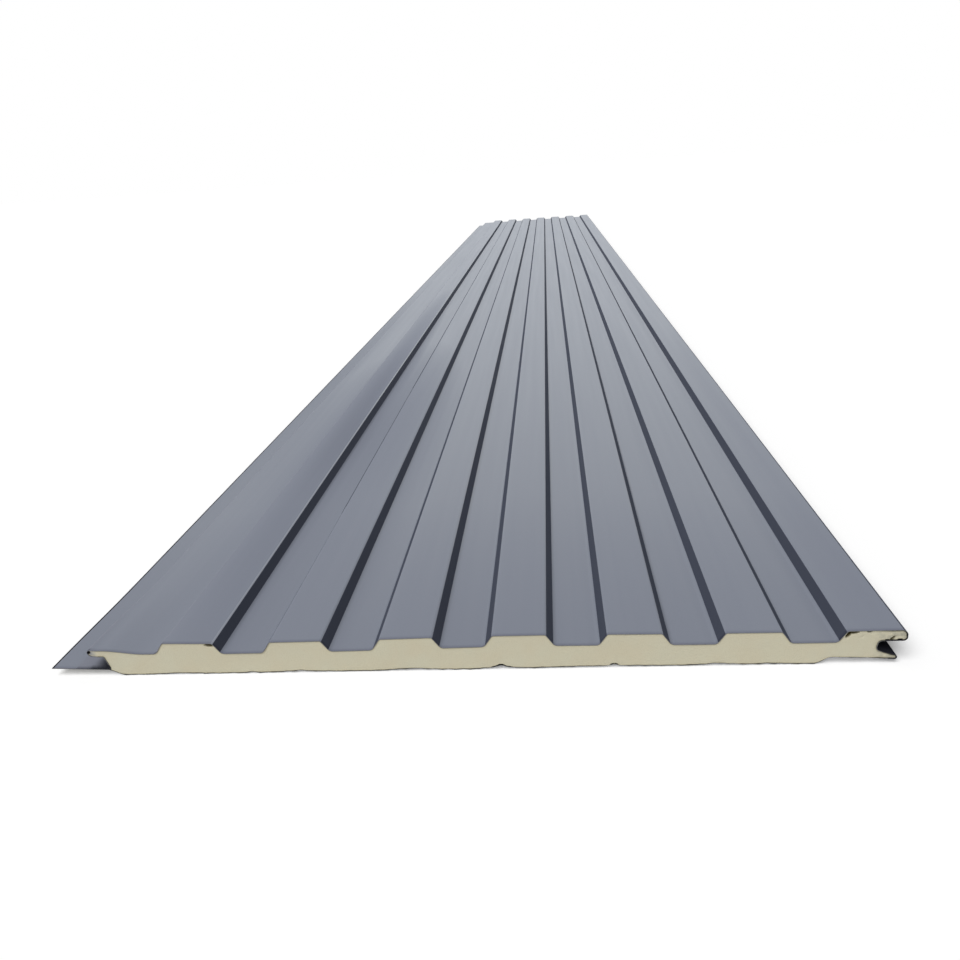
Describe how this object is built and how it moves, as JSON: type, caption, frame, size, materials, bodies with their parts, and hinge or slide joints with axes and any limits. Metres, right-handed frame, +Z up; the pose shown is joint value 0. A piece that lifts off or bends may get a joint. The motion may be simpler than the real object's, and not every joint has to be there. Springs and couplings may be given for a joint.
{
  "type": "metal siding panel",
  "caption": "Long insulated metal siding panel with a box-ribbed painted steel face, a foam core, a foil back, a tongue and nailing flange on one long edge and a groove on the other.",
  "frame": {"origin": "on the floor under the middle of the panel's box, the back lying down", "axes": "+X across the panel from the nailing flange to the nose, +Y along the ribs, +Z up out of the painted face"},
  "size_m": [0.4157, 3, 0.018],
  "materials": {
    "face_paint": "satin blue-grey coil coating on thin roll-formed steel",
    "foam": "cream rigid foam, open cells on the saw-cut ends",
    "foil": "thin dull foil, slightly wavy"
  },
  "bodies": {
    "root": {"face_sheet": "face_paint", "foam_core": "foam", "backing_foil": "foil"}
  },
  "joints": []
}
